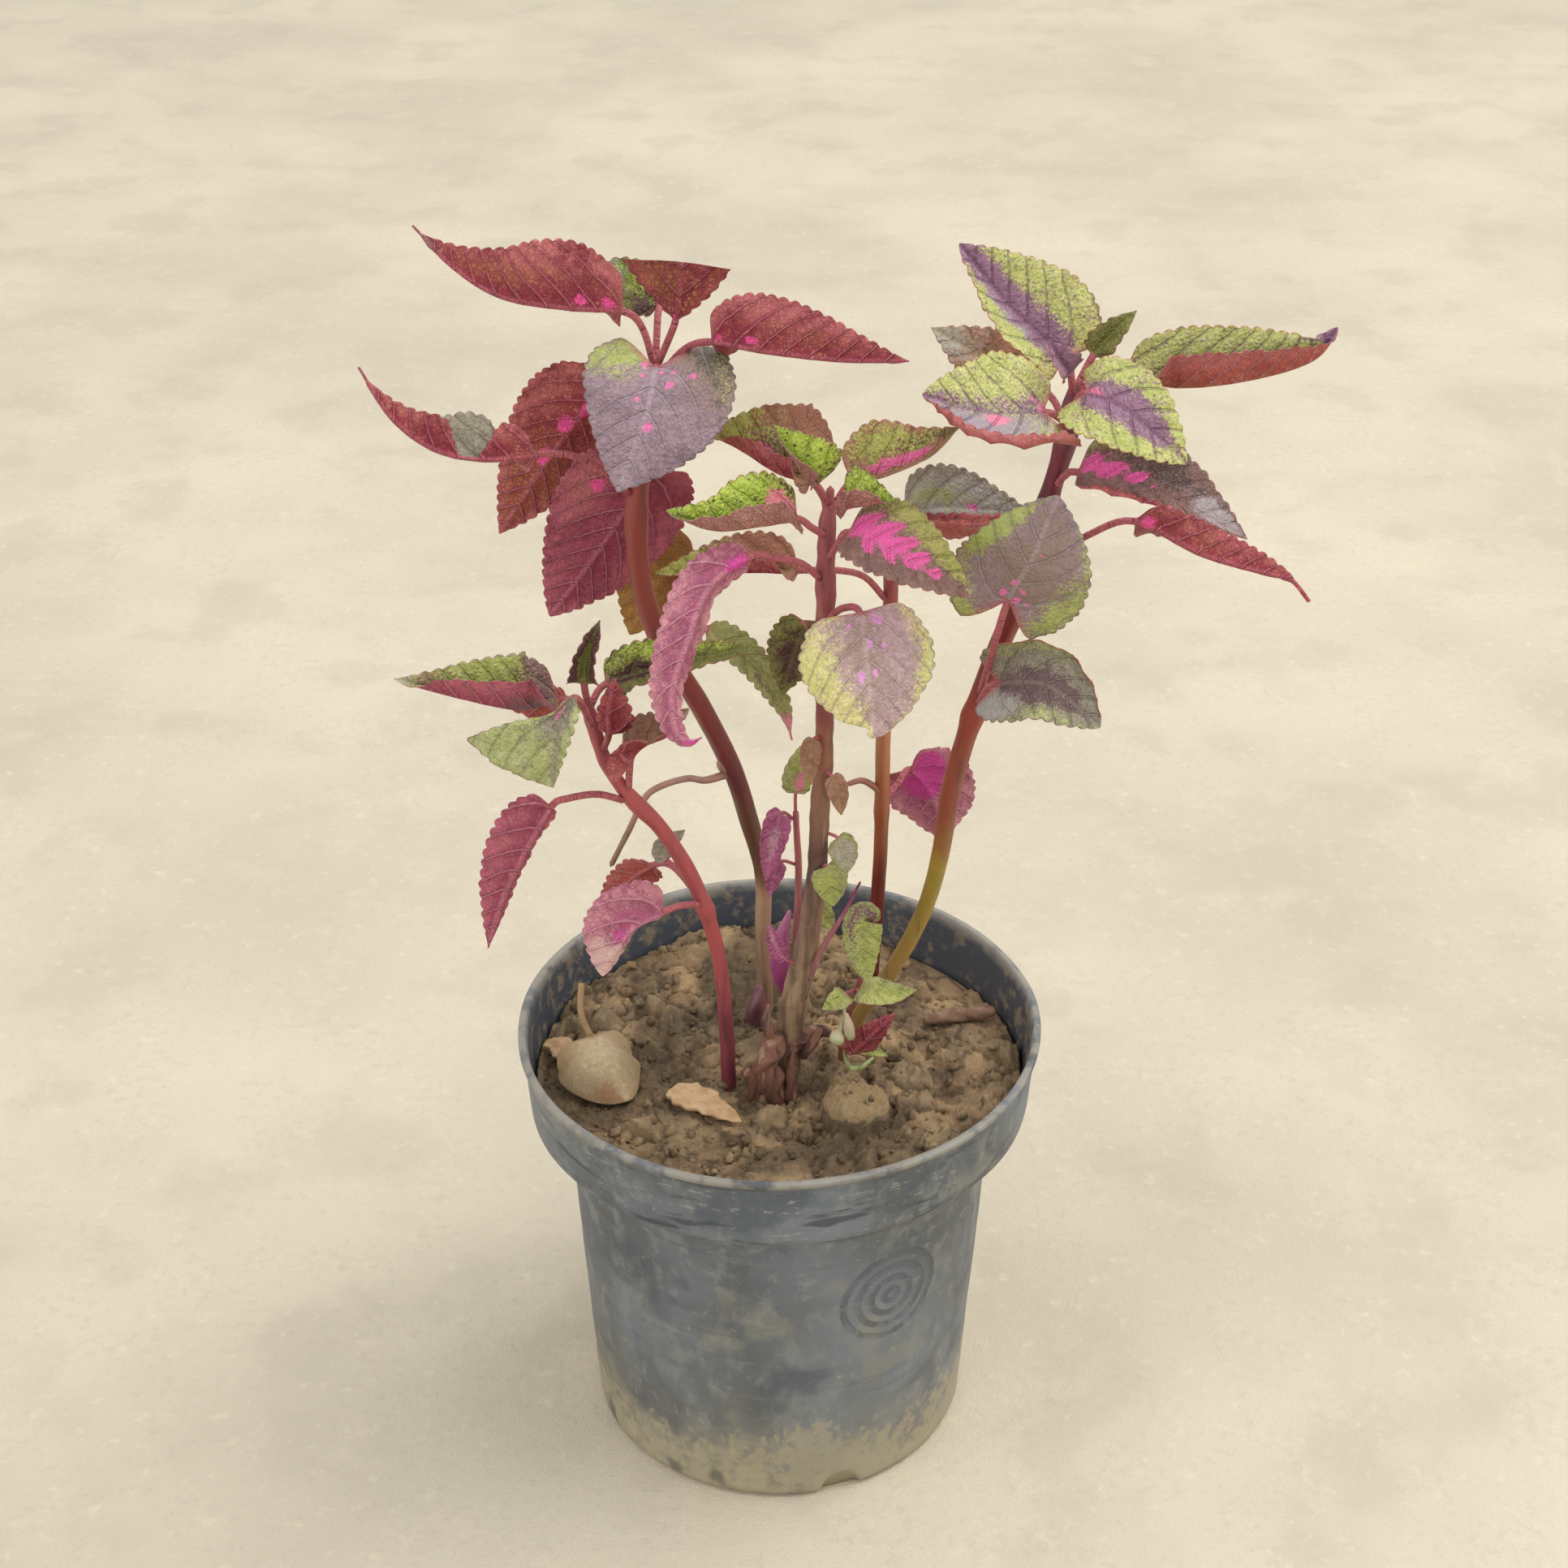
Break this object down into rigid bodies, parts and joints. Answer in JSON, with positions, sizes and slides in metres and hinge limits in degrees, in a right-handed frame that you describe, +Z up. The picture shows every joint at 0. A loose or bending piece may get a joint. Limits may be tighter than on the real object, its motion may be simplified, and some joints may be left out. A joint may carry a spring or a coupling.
{
  "type": "potted coleus",
  "caption": "Potted foliage plant: red upright stems with crimson, mauve and yellow-green scalloped leaves in a tapered plastic nursery pot of soil.",
  "frame": {"origin": "centre of the pot's flat underside", "axes": "+Z up along the pot's axis, -Y towards the viewer of the picture, +X to the viewer's right"},
  "size_m": [0.2612, 0.16, 0.386],
  "materials": {
    "pot": "dusty blue-grey moulded plastic with a scuffed rim",
    "soil": "rough grey-brown clay lumps",
    "red_stem": "smooth semi-gloss red stem",
    "woody_stem": "rough grey-brown old wood",
    "sprout": "soft young shoot",
    "crimson_leaf": "crimson underside with pale raised veins",
    "mauve_leaf": "mauve upper side with yellow-green edges",
    "pink_leaf": "pink underside with pale veins",
    "ochre_leaf": "yellow-brown ageing leaf",
    "green_leaf": "yellow-green and dark mottled upper side",
    "dry_leaf": "dry tan curled leaf",
    "bark_chip": "dry tan chip",
    "twig": "dry thin twig"
  },
  "bodies": {
    "root": {"back_leaf_1": "mauve_leaf", "back_leaf_2": "crimson_leaf", "back_leaf_3": "green_leaf", "back_leaf_4": "pink_leaf", "back_sprout": "sprout", "back_stem": "red_stem", "centre_leaf_1": "green_leaf", "centre_leaf_2": "green_leaf", "centre_leaf_3": "green_leaf", "centre_leaf_4": "green_leaf", "centre_leaf_5": "green_leaf", "centre_leaf_6": "green_leaf", "centre_leaf_7": "pink_leaf", "centre_leaf_8": "mauve_leaf", "centre_leaf_9": "green_leaf", "centre_stem": "woody_stem", "chip_front": "bark_chip", "chip_left": "bark_chip", "dry_leaf": "dry_leaf", "front_sprout": "sprout", "left_leaf_1": "crimson_leaf", "left_leaf_10": "mauve_leaf", "left_leaf_2": "green_leaf", "left_leaf_3": "crimson_leaf", "left_leaf_4": "crimson_leaf", "left_leaf_5": "mauve_leaf", "left_leaf_6": "crimson_leaf", "left_leaf_7": "crimson_leaf", "left_leaf_8": "crimson_leaf", "left_leaf_9": "ochre_leaf", "left_stem": "red_stem", "low_leaf_1": "green_leaf", "low_leaf_10": "ochre_leaf", "low_leaf_2": "crimson_leaf", "low_leaf_3": "green_leaf", "low_leaf_4": "green_leaf", "low_leaf_5": "green_leaf", "low_leaf_6": "crimson_leaf", "low_leaf_7": "crimson_leaf", "low_leaf_8": "crimson_leaf", "low_leaf_9": "pink_leaf", "low_stem": "red_stem", "pot": "pot", "right_leaf_1": "green_leaf", "right_leaf_10": "mauve_leaf", "right_leaf_11": "green_leaf", "right_leaf_2": "green_leaf", "right_leaf_3": "green_leaf", "right_leaf_4": "mauve_leaf", "right_leaf_5": "green_leaf", "right_leaf_6": "mauve_leaf", "right_leaf_7": "crimson_leaf", "right_leaf_8": "mauve_leaf", "right_leaf_9": "mauve_leaf", "right_stem": "red_stem", "soil": "soil", "twig": "twig"}
  },
  "joints": []
}
